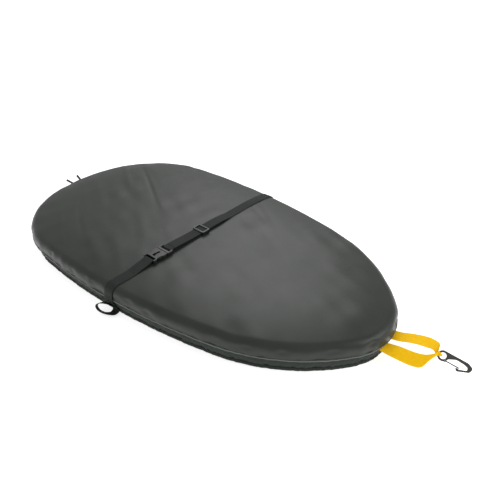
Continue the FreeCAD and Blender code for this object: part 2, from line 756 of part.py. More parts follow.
def snap_hook_body():
    points = [
        (0, eye_outer), (40, 4.8), (49, -1.2), (45.5, -9.2), (26.2, -15.4), (23.6, -10.0), (27.6, -9.9),
        (29.4, -10.9), (41.5, -7.4), (40.5, -2.5), (33, 0.3), (21, 2.2), (12.5, -1.0), (4.0, -5.0),
    ]
    radii = [0, 9, 4.5, 4.5, 2.2, 0.8, 0.8, 0.8, 2.0, 2.5, 12, 12, 3.0, 0]
    body = plate(points, radii, hook_thick)
    ring = Part.makeCylinder(eye_outer, hook_thick)
    pivot = V(*gate_pivot, 0)
    boss = Part.makeCylinder(gate_knuckle + part_clearance + gate_boss, hook_thick, pivot)
    whole = fused([body, ring, boss]).cut(Part.makeCylinder(eye_inner, hook_thick))
    whole = softened(whole, moulding_round, lambda e: on_level(e, 0, hook_thick))
    seat = Part.makeCylinder(gate_knuckle + part_clearance, hook_thick, pivot)
    room = gate_thick / 2 + part_clearance
    mouth = plate([(0, -room - 1), (12, -room - 1), (12, room + 4), (0, room)], [0, 0, 0, 0], hook_thick)
    mouth.rotate(V(0, 0, 0), UP, gate_lean())
    mouth.translate(pivot)
    whole = whole.cut([seat, mouth])
    whole.translate(V(0, 0, -hook_thick / 2))
    return placed_hook(whole)


def gate_lean():
    return math.degrees(math.atan2(gate_tip[1] - gate_pivot[1], gate_tip[0] - gate_pivot[0]))


def snap_hook_gate():
    pivot = V(*gate_pivot, 0)
    half = gate_thick / 2
    reach = math.hypot(gate_tip[0] - gate_pivot[0], gate_tip[1] - gate_pivot[1])
    tongue = plate([(0, -half), (reach, -half), (reach, half), (0, half)], [0, 0.9, 0.9, 0], hook_thick - 0.8)
    knuckle = Part.makeCylinder(gate_knuckle, hook_thick - 0.8)
    whole = softened(fused([tongue, knuckle]), 0.5, lambda e: on_level(e, 0, hook_thick - 0.8))
    whole.rotate(V(0, 0, 0), UP, gate_lean())
    whole.translate(pivot + V(0, 0, 0.4 - hook_thick / 2))
    return placed_hook(whole)


# ---- bar tacks ----
def bar_tacks():
    """Rows of dense stitching that hold the strap's lower ends to the band."""
    foot_out = -hem_inset + hem_width / 2 + strap_gap + web
    seam_out = piping_radius + 3 * strap_gap + web
    slope = (seam_out - foot_out) / (seam_height - 1 - strap_foot)
    rows = []
    for arc, side in ((near_flank, -1), (far_flank, 1)):
        centre, radius, _, _ = arc
        crossing = math.degrees(math.asin((strap_station - centre.x) / radius))
        middle = 90 - crossing if side > 0 else -90 + crossing
        for z in (strap_foot + 2, strap_foot + 9):
            out = foot_out + slope * (z - strap_foot)
            out += thread_gap
            points = [(out, z), (out + 0.5, z), (out + 0.5 + slope * 2, z + 2), (out + slope * 2, z + 2)]
            face = Part.Face(Part.makePolygon([V(a, b, 0) for a, b in points + points[:1]]))
            row = swept(face, [(centre, radius, middle - 1.2, middle + 1.2)])
            rows.append(row.common(box(-half_web + 2.5, half_web - 2.5, -400, 400, 0, 60)))
    return Part.makeCompound([solid for row in rows for solid in row.Solids])


def build():
    os.makedirs("parts", exist_ok=True)
    nodes = {
        "deck_panel": deck_panel(),
        "rim_band": rim_band(),
        "seam_piping": seam_piping(),
        "hem_tunnel": hem_tunnel(),
        "shock_cord": shock_cord(),
        "cord_tail_left": tail(tail_left),
        "cord_tail_right": tail(tail_right),
        "strap_near": strap_near(),
        "strap_far": strap_far(),
        "strap_adjuster_upper": strap_adjuster_upper(),
        "strap_fold": strap_fold(),
        "strap_return": strap_return(),
        "buckle_socket": socket(),
        "buckle_plug": plug(),
        "prong_left": prong(1),
        "prong_right": prong(-1),
        "tri_glide": tri_glide(),
        "grab_loop": grab_loop(),
        "snap_hook_body": snap_hook_body(),
        "snap_hook_gate": snap_hook_gate(),
        "pull_loop": pull_loop(),
        "bar_tacks": bar_tacks(),
        "cord_knot": knot_body(),
    }
    for name, shape in nodes.items():
        kinds = [s.isValid() and s.Volume > 0 for s in shape.Solids]
        print(name, len(shape.Solids), "valid" if all(kinds) else "NOT VALID", round(shape.Volume, 1))
        shape.exportStep("parts/" + name + ".step")


build()
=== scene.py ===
import math
import bmesh
import bpy
import numpy as np
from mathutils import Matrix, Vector


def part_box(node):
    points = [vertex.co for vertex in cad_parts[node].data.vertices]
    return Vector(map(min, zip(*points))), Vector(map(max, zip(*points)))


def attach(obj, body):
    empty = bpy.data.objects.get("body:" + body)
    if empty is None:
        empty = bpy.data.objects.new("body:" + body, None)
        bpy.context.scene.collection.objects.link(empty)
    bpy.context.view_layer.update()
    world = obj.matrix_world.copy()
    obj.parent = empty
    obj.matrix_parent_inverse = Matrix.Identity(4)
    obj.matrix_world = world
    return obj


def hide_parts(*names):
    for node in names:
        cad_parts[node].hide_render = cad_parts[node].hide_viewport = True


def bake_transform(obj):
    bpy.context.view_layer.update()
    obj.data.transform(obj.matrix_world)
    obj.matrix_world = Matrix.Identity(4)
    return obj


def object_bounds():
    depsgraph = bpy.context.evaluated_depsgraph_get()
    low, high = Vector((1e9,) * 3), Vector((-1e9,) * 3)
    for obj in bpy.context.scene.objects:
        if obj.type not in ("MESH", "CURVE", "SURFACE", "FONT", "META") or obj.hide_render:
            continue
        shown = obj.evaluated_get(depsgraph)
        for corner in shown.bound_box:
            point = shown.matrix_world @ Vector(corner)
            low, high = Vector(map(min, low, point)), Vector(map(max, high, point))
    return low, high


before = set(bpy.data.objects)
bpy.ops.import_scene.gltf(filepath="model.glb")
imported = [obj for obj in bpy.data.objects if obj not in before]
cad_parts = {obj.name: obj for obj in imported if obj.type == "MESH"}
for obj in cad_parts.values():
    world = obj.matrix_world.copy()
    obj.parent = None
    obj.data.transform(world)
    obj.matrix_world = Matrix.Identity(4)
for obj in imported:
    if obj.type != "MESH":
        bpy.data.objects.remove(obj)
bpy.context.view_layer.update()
mm = 0.001


# sizes
cover = {
    "length": 915, "width": 505, "widestAt": -130, "noseRadius": 121, "bowRadius": 371,
    "flankRadius": 1500, "quarterRadius": 226, "sternRadius": 328,
    "deckTop": 70, "shoulderRadius": 18, "crownRun": 110, "crownSlope": 7.5,
}
deck = {
    "around": 620, "foot": 34.6, "skin": 1.0,
    "tension": 1.35,      # height of the long creases, mm
    "slack": 1.3,        # height of the soft swells
    "puckers": 39, "puckerDepth": 3.4,
    "color": "2a2e2a", "roughness": 0.38,
}
band = {
    "around": 1500, "top": 45, "bottom": 9.0, "skin": 0.9, "gather": 1.9,
    "color": "2e332f", "roughness": 0.72,
}
hem = {"inset": 12, "height": 10, "width": 11.4, "gather": 1.2, "mouth": 22, "color": "2e332f"}
# the seam tape's pale colour is painted highlight, standing in for the light line along the seam
piping = {"radius": 1.25, "height": 34.6, "color": "62665f"}
webbingBlack = {"width": 25, "thick": 1.3, "color": "262a27", "rib": 1.6, "roughness": 0.62}
webbingYellow = {"width": 25, "thick": 1.3, "color": "ffc600", "rib": 1.6, "roughness": 0.55}
cordSpec = {"radius": 3.0, "color": "3a3f3a", "braid": 2.4}
plastic = {"color": "1b1d1b", "hookColor": "3b3e39", "roughness": 0.33}


# the outline, as a chain of tangent arcs
def meetingPoint(a, reachA, b, reachB):
    # where two circles cross, on the +Y side
    d = np.hypot(*(b - a))
    along = (reachA**2 - reachB**2 + d**2) / (2 * d)
    aside = math.sqrt(reachA**2 - along**2)
    ahead = (b - a) / d
    options = [a + ahead * along + np.array([-ahead[1], ahead[0]]) * aside * side for side in (1, -1)]
    return max(options, key=lambda p: p[1])


def outlineArcs():
    c = cover
    nose = np.array([c["length"] / 2 - c["noseRadius"], 0.0])
    stern = np.array([-c["length"] / 2 + c["sternRadius"], 0.0])
    flank = np.array([c["widestAt"], c["width"] / 2 - c["flankRadius"]])
    bow = meetingPoint(nose, c["bowRadius"] - c["noseRadius"], flank, c["flankRadius"] - c["bowRadius"])
    quarter = meetingPoint(
        flank, c["flankRadius"] - c["quarterRadius"], stern, c["sternRadius"] - c["quarterRadius"])
    heading = lambda p, q: math.atan2(q[1] - p[1], q[0] - p[0])
    cuts = [heading(bow, nose), heading(flank, bow), heading(flank, quarter), heading(stern, quarter)]
    upper = [
        (bow, c["bowRadius"], cuts[0], cuts[1]), (flank, c["flankRadius"], cuts[1], cuts[2]),
        (quarter, c["quarterRadius"], cuts[2], cuts[3])]
    lower = [
        (p * [1, -1], r, 2 * math.pi - end, 2 * math.pi - start)
        for p, r, start, end in reversed(upper)]
    half = [(nose, c["noseRadius"], 0, cuts[0])] + upper
    back = (stern, c["sternRadius"], cuts[3], 2 * math.pi - cuts[3])
    return half + [back] + lower + [(nose, c["noseRadius"], 2 * math.pi - cuts[0], 2 * math.pi)]


arcs = outlineArcs()
arcLengths = np.array([r * (end - start) for _, r, start, end in arcs])
roundLength = arcLengths.sum()
sternAt = arcLengths[:4].sum() + arcLengths[4] / 2    # halfway along the fifth arc


def outlineAt(s):
    # points on the outline, and the way out from it, at distances s round it from the nose, in mm
    s = np.mod(s, roundLength)
    ends = np.cumsum(arcLengths)
    which = np.minimum(np.searchsorted(ends, s, side="right"), len(arcs) - 1)
    into = s - np.concatenate([[0], ends[:-1]])[which]
    centre = np.array([a[0] for a in arcs])[which]
    radius = np.array([a[1] for a in arcs])[which]
    angle = np.array([a[2] for a in arcs])[which] + into / radius
    out = np.stack([np.cos(angle), np.sin(angle)], -1)
    return centre + out * radius[..., None], out


# small shape tools
def smoothStep(a, b, x):
    t = np.clip((x - a) / (b - a), 0, 1)
    return t * t * (3 - 2 * t)


def waves(s, seed, lengths, period=None):
    # a sum of sines with random phases; with a period, each wave fits it a whole number of times
    rng = np.random.default_rng(seed)
    total = np.zeros_like(s)
    for length in lengths:
        whole = 1 / length if period is None else max(1, round(period / length)) / period
        k = 2 * math.pi * whole
        total += np.sin(k * s + rng.uniform(0, 2 * math.pi)) * rng.uniform(0.6, 1.0)
    return total / len(lengths)


def gridMesh(name, rows, uv, pole=None):
    # rows is a grid of points in mm, rows x around x 3, closed round; uv is a grid of the same size
    count, around = rows.shape[:2]
    points = rows.reshape(-1, 3) * mm
    ii, jj = np.meshgrid(np.arange(count - 1), np.arange(around), indexing="ij")
    i2, j2 = ii + 1, (jj + 1) % around
    corners = [ii * around + jj, ii * around + j2, i2 * around + j2, i2 * around + jj]
    faces = np.stack(corners, -1).reshape(-1, 4)
    quads = len(faces)
    loops = faces.reshape(-1)
    starts = np.arange(quads) * 4
    sizes = np.full(quads, 4)
    # the last column carries on past the seam, so the pattern doesn't run back
    nextUv = lambda i: np.stack([uvNext(uv[..., 0], i, jj), uv[i, jj, 1]], -1)
    uvLoops = np.stack([uv[ii, jj], nextUv(ii), nextUv(i2), uv[i2, jj]], 2).reshape(-1, 2)
    if pole is not None:
        points = np.vstack([points, np.array(pole) * mm])
        last = (count - 1) * around
        jj = np.arange(around)
        fan = np.stack([last + jj, last + (jj + 1) % around, np.full(around, len(points) - 1)], -1)
        starts = np.concatenate([starts, quads * 4 + np.arange(around) * 3])
        sizes = np.concatenate([sizes, np.full(around, 3)])
        loops = np.concatenate([loops, fan.reshape(-1)])
        fanUv = np.stack([uv[-1, jj], uv[-1, (jj + 1) % around], np.zeros((around, 2))], 1)
        uvLoops = np.vstack([uvLoops, fanUv.reshape(-1, 2)])
    mesh = bpy.data.meshes.new(name)
    mesh.vertices.add(len(points))
    mesh.vertices.foreach_set("co", points.astype(np.float32).reshape(-1))
    mesh.loops.add(len(loops))
    mesh.loops.foreach_set("vertex_index", loops.astype(np.int32))
    mesh.polygons.add(len(sizes))
    mesh.polygons.foreach_set("loop_start", starts.astype(np.int32))
    mesh.polygons.foreach_set("use_smooth", np.ones(len(sizes), bool))
    mesh.update(calc_edges=True)
    layer = mesh.uv_layers.new(name="clothUv")
    layer.data.foreach_set("uv", uvLoops.astype(np.float32).reshape(-1))
    mesh.validate()
    obj = bpy.data.objects.new(name, mesh)
    bpy.context.collection.objects.link(obj)
    return obj


def uvNext(u, i, j):
    # u of the next column; past the last one it goes on by the same step
    around = u.shape[1]
    step = u[i, 1] - u[i, 0]
    return np.where(j + 1 < around, u[i, (j + 1) % around], u[i, around - 1] + step)


def facingOut(obj):
    # turns the faces outwards
    bm = bmesh.new()
    bm.from_mesh(obj.data)
    bmesh.ops.recalc_face_normals(bm, faces=bm.faces)
    bm.to_mesh(obj.data)
    bm.free()
    return obj


def solidified(obj, thick):
    # cloth gets its real thickness, inwards from the outer face
    modifier = obj.modifiers.new("skin", "SOLIDIFY")
    modifier.thickness = thick * mm
    modifier.offset = -1
    return obj


def smoothPath(values, steps):
    # a Catmull-Rom curve through rows of numbers, with the same number of steps in each span
    values = np.asarray(values, float)
    ends = np.vstack([2 * values[0] - values[1], values, 2 * values[-1] - values[-2]])
    t = np.linspace(0, 1, steps, endpoint=False)[:, None]
    spans = []
    for a, b, c, d in zip(ends, ends[1:], ends[2:], ends[3:]):
        square, cube = 2 * a - 5 * b + 4 * c - d, 3 * b - a - 3 * c + d
        spans.append(0.5 * (2 * b + (c - a) * t + square * t**2 + cube * t**3))
    return np.vstack(spans + [values[-1:]])


def unit(v):
    return v / np.maximum(np.linalg.norm(v, axis=-1, keepdims=True), 1e-9)


def ribbon(name, middles, across, normals, widths, thicks, steps=10, cup=0.0):
    # a webbing strip through flat sections; cup bows each section, as a share of its width
    data = np.hstack([np.array(middles, float), unit(np.array(across, float)), np.array(normals, float),
                      np.array(widths, float)[:, None], np.array(thicks, float)[:, None]])
    data = smoothPath(data, steps)
    middle, side = data[:, 0:3], unit(data[:, 3:6])
    face = data[:, 6:9] - side * np.sum(data[:, 6:9] * side, 1, keepdims=True)
    face = unit(face)
    wide, thick = data[:, 9:10] / 2, data[:, 10:11] / 2
    # rounded flat section: a superellipse, |x|^5 + |y|^2.4 = 1
    a = np.linspace(0, 2 * math.pi, 28, endpoint=False)
    px = np.sign(np.cos(a)) * np.abs(np.cos(a)) ** (2 / 5)
    py = np.sign(np.sin(a)) * np.abs(np.sin(a)) ** (2 / 2.4)
    along = np.concatenate([[0], np.cumsum(np.linalg.norm(np.diff(middle, axis=0), axis=1))])
    bow = cup * wide * (1 - px[None, :] ** 2)
    grid = (middle[:, None] + side[:, None] * (wide * px[None, :])[..., None]
            + face[:, None] * (thick * py[None, :] + bow)[..., None])
    # U runs along the strip and V across it
    uv = np.stack([np.repeat(along[:, None], len(a), 1) * mm, wide * px[None, :] * mm], -1)
    return tubeMesh(name, grid, uv)


def tubeMesh(name, grid, uv):
    # a closed tube of sections with flat caps
    count, around = grid.shape[:2]
    points = grid.reshape(-1, 3) * mm
    i, j = np.meshgrid(np.arange(count - 1) * around, np.arange(around), indexing="ij")
    k = (j + 1) % around
    faces = np.stack([i + j, i + k, i + around + k, i + around + j], -1).reshape(-1, 4).tolist()
    faces.append(list(range(around))[::-1])
    faces.append([(count - 1) * around + j for j in range(around)])
    mesh = bpy.data.meshes.new(name)
    mesh.from_pydata(points.tolist(), [], faces)
    mesh.polygons.foreach_set("use_smooth", np.ones(len(faces), bool))
    layer = mesh.uv_layers.new(name="clothUv")
    loops = np.zeros(len(mesh.loops), np.int32)
    mesh.loops.foreach_get("vertex_index", loops)
    layer.data.foreach_set("uv", uv.reshape(-1, 2)[loops].astype(np.float32).reshape(-1))
    mesh.update()
    obj = bpy.data.objects.new(name, mesh)
    bpy.context.collection.objects.link(obj)
    return facingOut(obj)


def skinHeight(inset):
    # height of the skin at a distance in from the outline, over the shoulder and the crown
    c = cover
    slope = math.radians(c["crownSlope"])
    big = c["shoulderRadius"] + (c["crownRun"] - c["shoulderRadius"]) / math.sin(slope)
    shoulderZ = c["deckTop"] - big + (big - c["shoulderRadius"]) * math.cos(slope)
    meet = c["shoulderRadius"] * (1 - math.sin(slope))
    inset = np.asarray(inset, float)
    r = c["shoulderRadius"]
    onShoulder = shoulderZ + np.sqrt(np.maximum(r**2 - (r - inset)**2, 0))
    onCrown = c["deckTop"] - big + np.sqrt(np.maximum(big**2 - np.maximum(c["crownRun"] - inset, 0)**2, 0))
    return np.where(inset < meet, onShoulder, onCrown), shoulderZ


def edgeHalfWidth(x):
    # half the cover's width at a station on the flank
    c = cover
    return c["width"] / 2 - c["flankRadius"] + np.sqrt(c["flankRadius"]**2 - (x - c["widestAt"])**2)


# materials
def hexLinear(text):
    c = np.array([int(text[i:i + 2], 16) for i in (0, 2, 4)]) / 255
    return tuple(np.where(c <= 0.04045, c / 12.92, ((c + 0.055) / 1.055) ** 2.4)) + (1.0,)


def newMaterial(name):
    material = bpy.data.materials.new(name)
    material.use_nodes = True
    tree = material.node_tree
    tree.nodes.clear()
    out = tree.nodes.new("ShaderNodeOutputMaterial")
    surface = tree.nodes.new("ShaderNodeBsdfPrincipled")
    tree.links.new(surface.outputs[0], out.inputs["Surface"])
    return material, tree, surface


def node(tree, kind, settings=None, inputs=None):
    # adds a node; an input is a value or another node's output
    made = tree.nodes.new("ShaderNode" + kind)
    for key, value in (settings or {}).items():
        setattr(made, key, value)
    for key, value in (inputs or {}).items():
        if isinstance(value, bpy.types.NodeSocket):
            tree.links.new(value, made.inputs[key])
        else:
            made.inputs[key].default_value = value
    return made


def calc(tree, operation, *values):
    # the output of one Math node
    return node(tree, "Math", {"operation": operation}, dict(enumerate(values))).outputs[0]


def noise(tree, where, scale, **more):
    return node(tree, "TexNoise", None, {"Vector": where, "Scale": scale, **more}).outputs["Fac"]


def clothMaterial(name, color, roughness, pitch, tone=0.14, sheen=0.15, bump=0.25, specular=0.4):
    # coated plain weave: fine crossed ribs, slow changes of tone where it is creased and handled
    material, tree, surface = newMaterial(name)
    where = node(tree, "TexCoord").outputs["Object"]
    wave = lambda axis: node(tree, "TexWave", {"bands_direction": axis}, {
        "Vector": where, "Scale": 1 / (pitch * mm) / 3.14, "Distortion": 0.6, "Detail": 1.0}).outputs["Fac"]
    weave = calc(tree, "MAXIMUM", wave("X"), wave("Y"))
    cloud = noise(tree, where, 14.0, Detail=4.0, Roughness=0.6)
    grain = noise(tree, where, 420.0, Detail=2.0)
    low = tuple(c * (1 - tone) for c in hexLinear(color)[:3]) + (1,)
    high = tuple(c * (1 + tone) for c in hexLinear(color)[:3]) + (1,)
    mixed = calc(tree, "MULTIPLY_ADD", grain, 0.35, cloud)
    ramp = node(tree, "MapRange", None, {"Value": mixed, "From Min": 0.45, "From Max": 0.95}).outputs[0]
    paint = node(tree, "Mix", {"data_type": "RGBA"}, {"Factor": ramp, 6: low, 7: high}).outputs[2]
    tree.links.new(paint, surface.inputs["Base Color"])
    shine = node(tree, "MapRange", None, {
        "Value": cloud, "To Min": roughness - 0.06, "To Max": roughness + 0.1}).outputs[0]
    tree.links.new(shine, surface.inputs["Roughness"])
    height = calc(tree, "MULTIPLY_ADD", grain, 0.5, weave)
    depth = {"Strength": bump, "Distance": 0.15 * mm, "Height": height}
    bumped = node(tree, "Bump", None, depth).outputs[0]
    tree.links.new(bumped, surface.inputs["Normal"])
    surface.inputs["Specular IOR Level"].default_value = specular
    surface.inputs["Sheen Weight"].default_value = sheen
    surface.inputs["Sheen Roughness"].default_value = 0.4
    return material


def webbingMaterial(name, color, roughness, rib, bump=0.5, tone=0.16, glow=0.0):
    # woven webbing: ribs along the strip crossed by a weft that slants to and fro
    material, tree, surface = newMaterial(name)
    uv = node(tree, "UVMap", {"uv_map": "clothUv"}).outputs[0]
    parts = node(tree, "SeparateXYZ", None, {"Vector": uv})
    ribs = calc(tree, "SINE", calc(tree, "MULTIPLY", parts.outputs[1], 2 * math.pi / (rib * mm)))
    turns = calc(tree, "MULTIPLY", parts.outputs[1], math.pi / (3.2 * mm))
    slant = calc(tree, "ABSOLUTE", calc(tree, "SINE", turns))
    shifted = calc(tree, "MULTIPLY_ADD", slant, 0.9 * mm, parts.outputs[0])
    weft = calc(tree, "SINE", calc(tree, "MULTIPLY", shifted, 2 * math.pi / (1.3 * mm)))
    height = calc(tree, "MULTIPLY_ADD", ribs, 0.6, weft)
    cloud = noise(tree, node(tree, "TexCoord").outputs["Object"], 160.0, Detail=3.0)
    base = hexLinear(color)[:3]
    low = tuple(c * (1 - tone) for c in base) + (1,)
    high = tuple(min(1, c * (1 + tone)) for c in base) + (1,)
    mixed = calc(tree, "MULTIPLY_ADD", height, 0.16, cloud)
    paint = node(tree, "Mix", {"data_type": "RGBA"}, {"Factor": mixed, 6: low, 7: high}).outputs[2]
    tree.links.new(paint, surface.inputs["Base Color"])
    bumped = node(tree, "Bump", None, {"Strength": bump, "Distance": 0.2 * mm, "Height": height}).outputs[0]
    tree.links.new(bumped, surface.inputs["Normal"])
    surface.inputs["Roughness"].default_value = roughness
    surface.inputs["Specular IOR Level"].default_value = 0.15
    surface.inputs["Subsurface Weight"].default_value = glow
    surface.inputs["Subsurface Radius"].default_value = (0.004, 0.002, 0.0008)
    surface.inputs["Subsurface Scale"].default_value = 1.0
    return material


def plasticMaterial(name, color, roughness):
    # moulded acetal: faint flow marks and a fine spark-eroded grain
    material, tree, surface = newMaterial(name)
    where = node(tree, "TexCoord").outputs["Object"]
    grain = noise(tree, where, 1800.0, Detail=2.0)
    flow = noise(tree, where, 90.0, Detail=3.0)
    shine = node(tree, "MapRange", None, {
        "Value": flow, "To Min": roughness - 0.07, "To Max": roughness + 0.1}).outputs[0]
    tree.links.new(shine, surface.inputs["Roughness"])
    bumped = node(tree, "Bump", None, {"Strength": 0.12, "Distance": 0.05 * mm, "Height": grain}).outputs[0]
    tree.links.new(bumped, surface.inputs["Normal"])
    surface.inputs["Base Color"].default_value = hexLinear(color)
    surface.inputs["IOR"].default_value = 1.48
    return material


def cordMaterial(name, color, braid):
    # braided sheath: two sets of strands that cross, from waves slanted both ways
    material, tree, surface = newMaterial(name)
    where = node(tree, "TexCoord").outputs["Object"]
    sets = []
    for turn in (0.8, -0.8):
        turned = node(tree, "Mapping", None, {"Vector": where, "Rotation": (0.6, turn, turn)}).outputs[0]
        sets.append(node(tree, "TexWave", {"bands_direction": "DIAGONAL"}, {
            "Vector": turned, "Scale": 1 / (braid * mm) / 3.14, "Distortion": 0.3}).outputs["Fac"])
    height = calc(tree, "MAXIMUM", *sets)
    base = hexLinear(color)[:3]
    low = tuple(c * 0.6 for c in base) + (1,)
    high = tuple(c * 1.25 for c in base) + (1,)
    paint = node(tree, "Mix", {"data_type": "RGBA"}, {"Factor": height, 6: low, 7: high}).outputs[2]
    tree.links.new(paint, surface.inputs["Base Color"])
    bumped = node(tree, "Bump", None, {"Strength": 0.6, "Distance": 0.25 * mm, "Height": height}).outputs[0]
    tree.links.new(bumped, surface.inputs["Normal"])
    surface.inputs["Roughness"].default_value = 0.7
    return material


deckCloth = clothMaterial(
    "coatedNylonSatin", deck["color"], deck["roughness"], 1.2, sheen=0.0, bump=0.2, specular=0.3)
bandCloth = clothMaterial(
    "coatedNylonMatt", band["color"], band["roughness"], 1.0, tone=0.2, sheen=0.0, bump=0.5, specular=0.15)
# pale cloth for the seam tape: its colour is painted highlight along the seam
pipingPaintedHighlight = clothMaterial("seamTapePaintedHighlight", piping["color"], 0.6, 1.0, tone=0.25, bump=0.6)
blackWeb = webbingMaterial(
    "polyWebbingBlack", webbingBlack["color"], webbingBlack["roughness"], webbingBlack["rib"])
yellowWeb = webbingMaterial(
    "polyWebbingYellow", webbingYellow["color"], webbingYellow["roughness"], webbingYellow["rib"],
    bump=0.45, tone=0.08, glow=0.12)
acetalBlack = plasticMaterial("acetalBlack", plastic["color"], plastic["roughness"])
acetalGrey = plasticMaterial("acetalHook", plastic["hookColor"], plastic["roughness"] + 0.08)
cordSheath = cordMaterial("braidedSheath", cordSpec["color"], cordSpec["braid"])
threadSpun = cordMaterial("bondedThread", "3a3f3b", 0.5)


def dressed(obj, material):
    obj.data.materials.clear()
    obj.data.materials.append(material)
    return obj


print("materials made")


# deck panel
def makeDeck():
    s = np.linspace(0, roundLength, deck["around"], endpoint=False)
    edge, out = outlineAt(s)
    slope = math.radians(cover["crownSlope"])
    _, shoulderZ = skinHeight(0.0)
    # profile: up the wall, over the shoulder by even angles, then in along the crown
    wallZ = np.linspace(deck["foot"], shoulderZ, 9)[:-1]
    bend = np.linspace(0, math.pi / 2 - slope, 14)
    shoulderIn = cover["shoulderRadius"] * (1 - np.cos(bend))
    shoulderUp = shoulderZ + cover["shoulderRadius"] * np.sin(bend)
    crownIn = np.linspace(shoulderIn[-1], cover["crownRun"], 22)[1:]
    crownUp, _ = skinHeight(crownIn)
    inset = np.concatenate([np.zeros(8), shoulderIn, crownIn])
    height = np.concatenate([wallZ, shoulderUp, crownUp])
    lean = np.concatenate([np.zeros(8), bend, np.full(21, math.pi / 2)])
    along = np.concatenate([[0], np.cumsum(np.hypot(np.diff(inset), np.diff(height)))])
    grid = edge[None] - out[None] * inset[:, None, None]
    z = np.repeat(height[:, None], len(s), 1)
    # the flat middle: rings drawn in towards a point behind the middle
    ring = grid[-1]
    centre = np.array([-60.0, 0.0])
    shrink = np.linspace(1, 0, 26)[1:-1]
    inner = centre + (ring[None] - centre) * shrink[:, None, None]
    grid = np.concatenate([grid, inner])
    z = np.concatenate([z, np.full((len(shrink), len(s)), height[-1])])
    lean = np.concatenate([lean, np.full(len(shrink), math.pi / 2)])
    x, y = grid[..., 0], grid[..., 1]
    ss = np.repeat(s[None], len(lean), 0)
    # soft swells over the whole top
    swell = waves(x * 0.8 + y * 0.6, 3, (150, 96, 61)) * waves(y - x * 0.3, 5, (170, 110, 70))
    swell = swell * deck["slack"] * 2.0
    # tension creases all lie one way, slantwise over the deck: narrow crests, long and slightly bowed
    across = x * 0.52 + y * 0.86
    run = x * 0.86 - y * 0.52
    crease = np.zeros_like(x)
    rng = np.random.default_rng(11)
    for _ in range(26):
        at, start = rng.uniform(-330, 260), rng.uniform(-420, 120)
        length, wide, tall = rng.uniform(60, 190), rng.uniform(5, 13), rng.uniform(-1, 1)
        bow = 0.0007 * rng.uniform(-1, 1) * (run - start) ** 2
        crease += tall * np.exp(-((across - at - bow) / wide) ** 2) * np.exp(-((run - start) / length) ** 2)
    nearEdge = np.clip(1 - np.abs(z - 60) / 40, 0, 1)
    crease *= deck["tension"] * (0.55 + 0.45 * nearEdge)
    # puckers where the gathered band pulls on the deck's edge: small hollows on the wall and shoulder
    pucker = np.zeros_like(x)
    # two thirds of them lie round the nose, where the band is gathered hardest
    places = np.concatenate([
        rng.uniform(0, roundLength, deck["puckers"] // 3),
        rng.uniform(-720, 620, deck["puckers"] * 2 // 3)])
    for place in places:
        d = np.mod(ss - place + roundLength / 2, roundLength) - roundLength / 2
        wide, low, deep = rng.uniform(7, 13), rng.uniform(47, 52), rng.uniform(0.2, 1)
        pucker += deep * np.exp(-(d / wide) ** 2) * np.exp(-((z - low) / 5.0) ** 2)
    edgeWave = waves(s, 8, (210, 90, 46, 31), roundLength)
    topHold = smoothStep(62, 44, z)
    move = swell * smoothStep(0, 1.2, lean)[:, None] + crease
    move = move - deck["puckerDepth"] * np.minimum(pucker, 1.0)
    move += edgeWave[None] * 1.3 * topHold
    # the strap presses the skin flat under it
    underStrap = np.exp(-((x + 2) / 26.0) ** 4)
    move *= 1 - 0.85 * underStrap
    move = np.minimum(move, 2.2)
    normalFlat = np.cos(lean)[:, None]
    grid = grid + np.concatenate([out[None]] * len(lean)) * (move * normalFlat)[..., None]
    z = z + move * np.sin(lean)[:, None]
    # the foot hangs in a slight wave over the band
    z[0] += 0.5 * waves(s, 21, (60, 33, 19), roundLength)
    rows = np.dstack([grid, z])
    uvAlong = np.concatenate([along, along[-1] + np.cumsum(np.full(len(shrink), 6.0))])
    uv = np.stack([ss * mm, np.repeat(uvAlong[:, None], len(s), 1) * mm], -1)
    obj = gridMesh("deckPanelCloth", rows, uv, pole=[centre[0], centre[1], rows[-1, :, 2].mean()])
    return facingOut(obj)


def topUp(obj):
    # recalculated normals of an open shell can come out downwards; the top has to look up
    normals = np.zeros(len(obj.data.polygons) * 3, np.float32)
    obj.data.polygons.foreach_get("normal", normals)
    if normals.reshape(-1, 3)[:, 2].sum() < 0:
        obj.data.flip_normals()
    return obj


deckPanel = dressed(solidified(topUp(makeDeck()), deck["skin"]), deckCloth)
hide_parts("deck_panel")
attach(deckPanel, "cover")
print("deck made")


# band and hem: gathered by the shock cord
def gatherWave(s):
    # folds of uneven width, from waves that fit the length round
    return waves(s, 31, (29, 21, 15.5, 12), roundLength) + 0.5 * waves(s, 37, (71, 43), roundLength)


def outwards(obj):
    # of a ring open at both ends, the outside has to look away from the middle
    count = len(obj.data.polygons)
    normals, centres = np.zeros(count * 3, np.float32), np.zeros(count * 3, np.float32)
    obj.data.polygons.foreach_get("normal", normals)
    obj.data.polygons.foreach_get("center", centres)
    if (normals.reshape(-1, 3)[:, :2] * centres.reshape(-1, 3)[:, :2]).sum() < 0:
        obj.data.flip_normals()
    return obj


def makeBand():
    s = np.linspace(0, roundLength, band["around"], endpoint=False)
    edge, out = outlineAt(s)
    fold = gatherWave(s)
    t = np.linspace(0, 1, 16)
    z = band["top"] + (band["bottom"] - band["top"]) * t
    # inset: against the deck's wall at the top, drawn in to the hem below the seam
    inset = np.where(z > 33, 1.5 + (z - 33) / 12 * 3.4, 1.5 + (33 - z) / 24 * 6.8)
    free = smoothStep(34, 14, z)
    crimp = 0.35 * waves(s, 44, (9, 7), roundLength)
    pushed = (fold * band["gather"] + crimp)[None] * free[:, None]
    belly = 1.6 * np.sin(math.pi * np.clip((33 - z) / 24, 0, 1))
    grid = edge[None] - out[None] * (inset[:, None] - pushed - belly[:, None])[..., None]
    rows = np.dstack([grid, np.repeat(z[:, None], len(s), 1)])
    uv = np.stack([np.repeat(s[None], len(t), 0) * mm, np.repeat(z[:, None], len(s), 1) * mm], -1)
    return outwards(gridMesh("rimBandCloth", rows, uv))


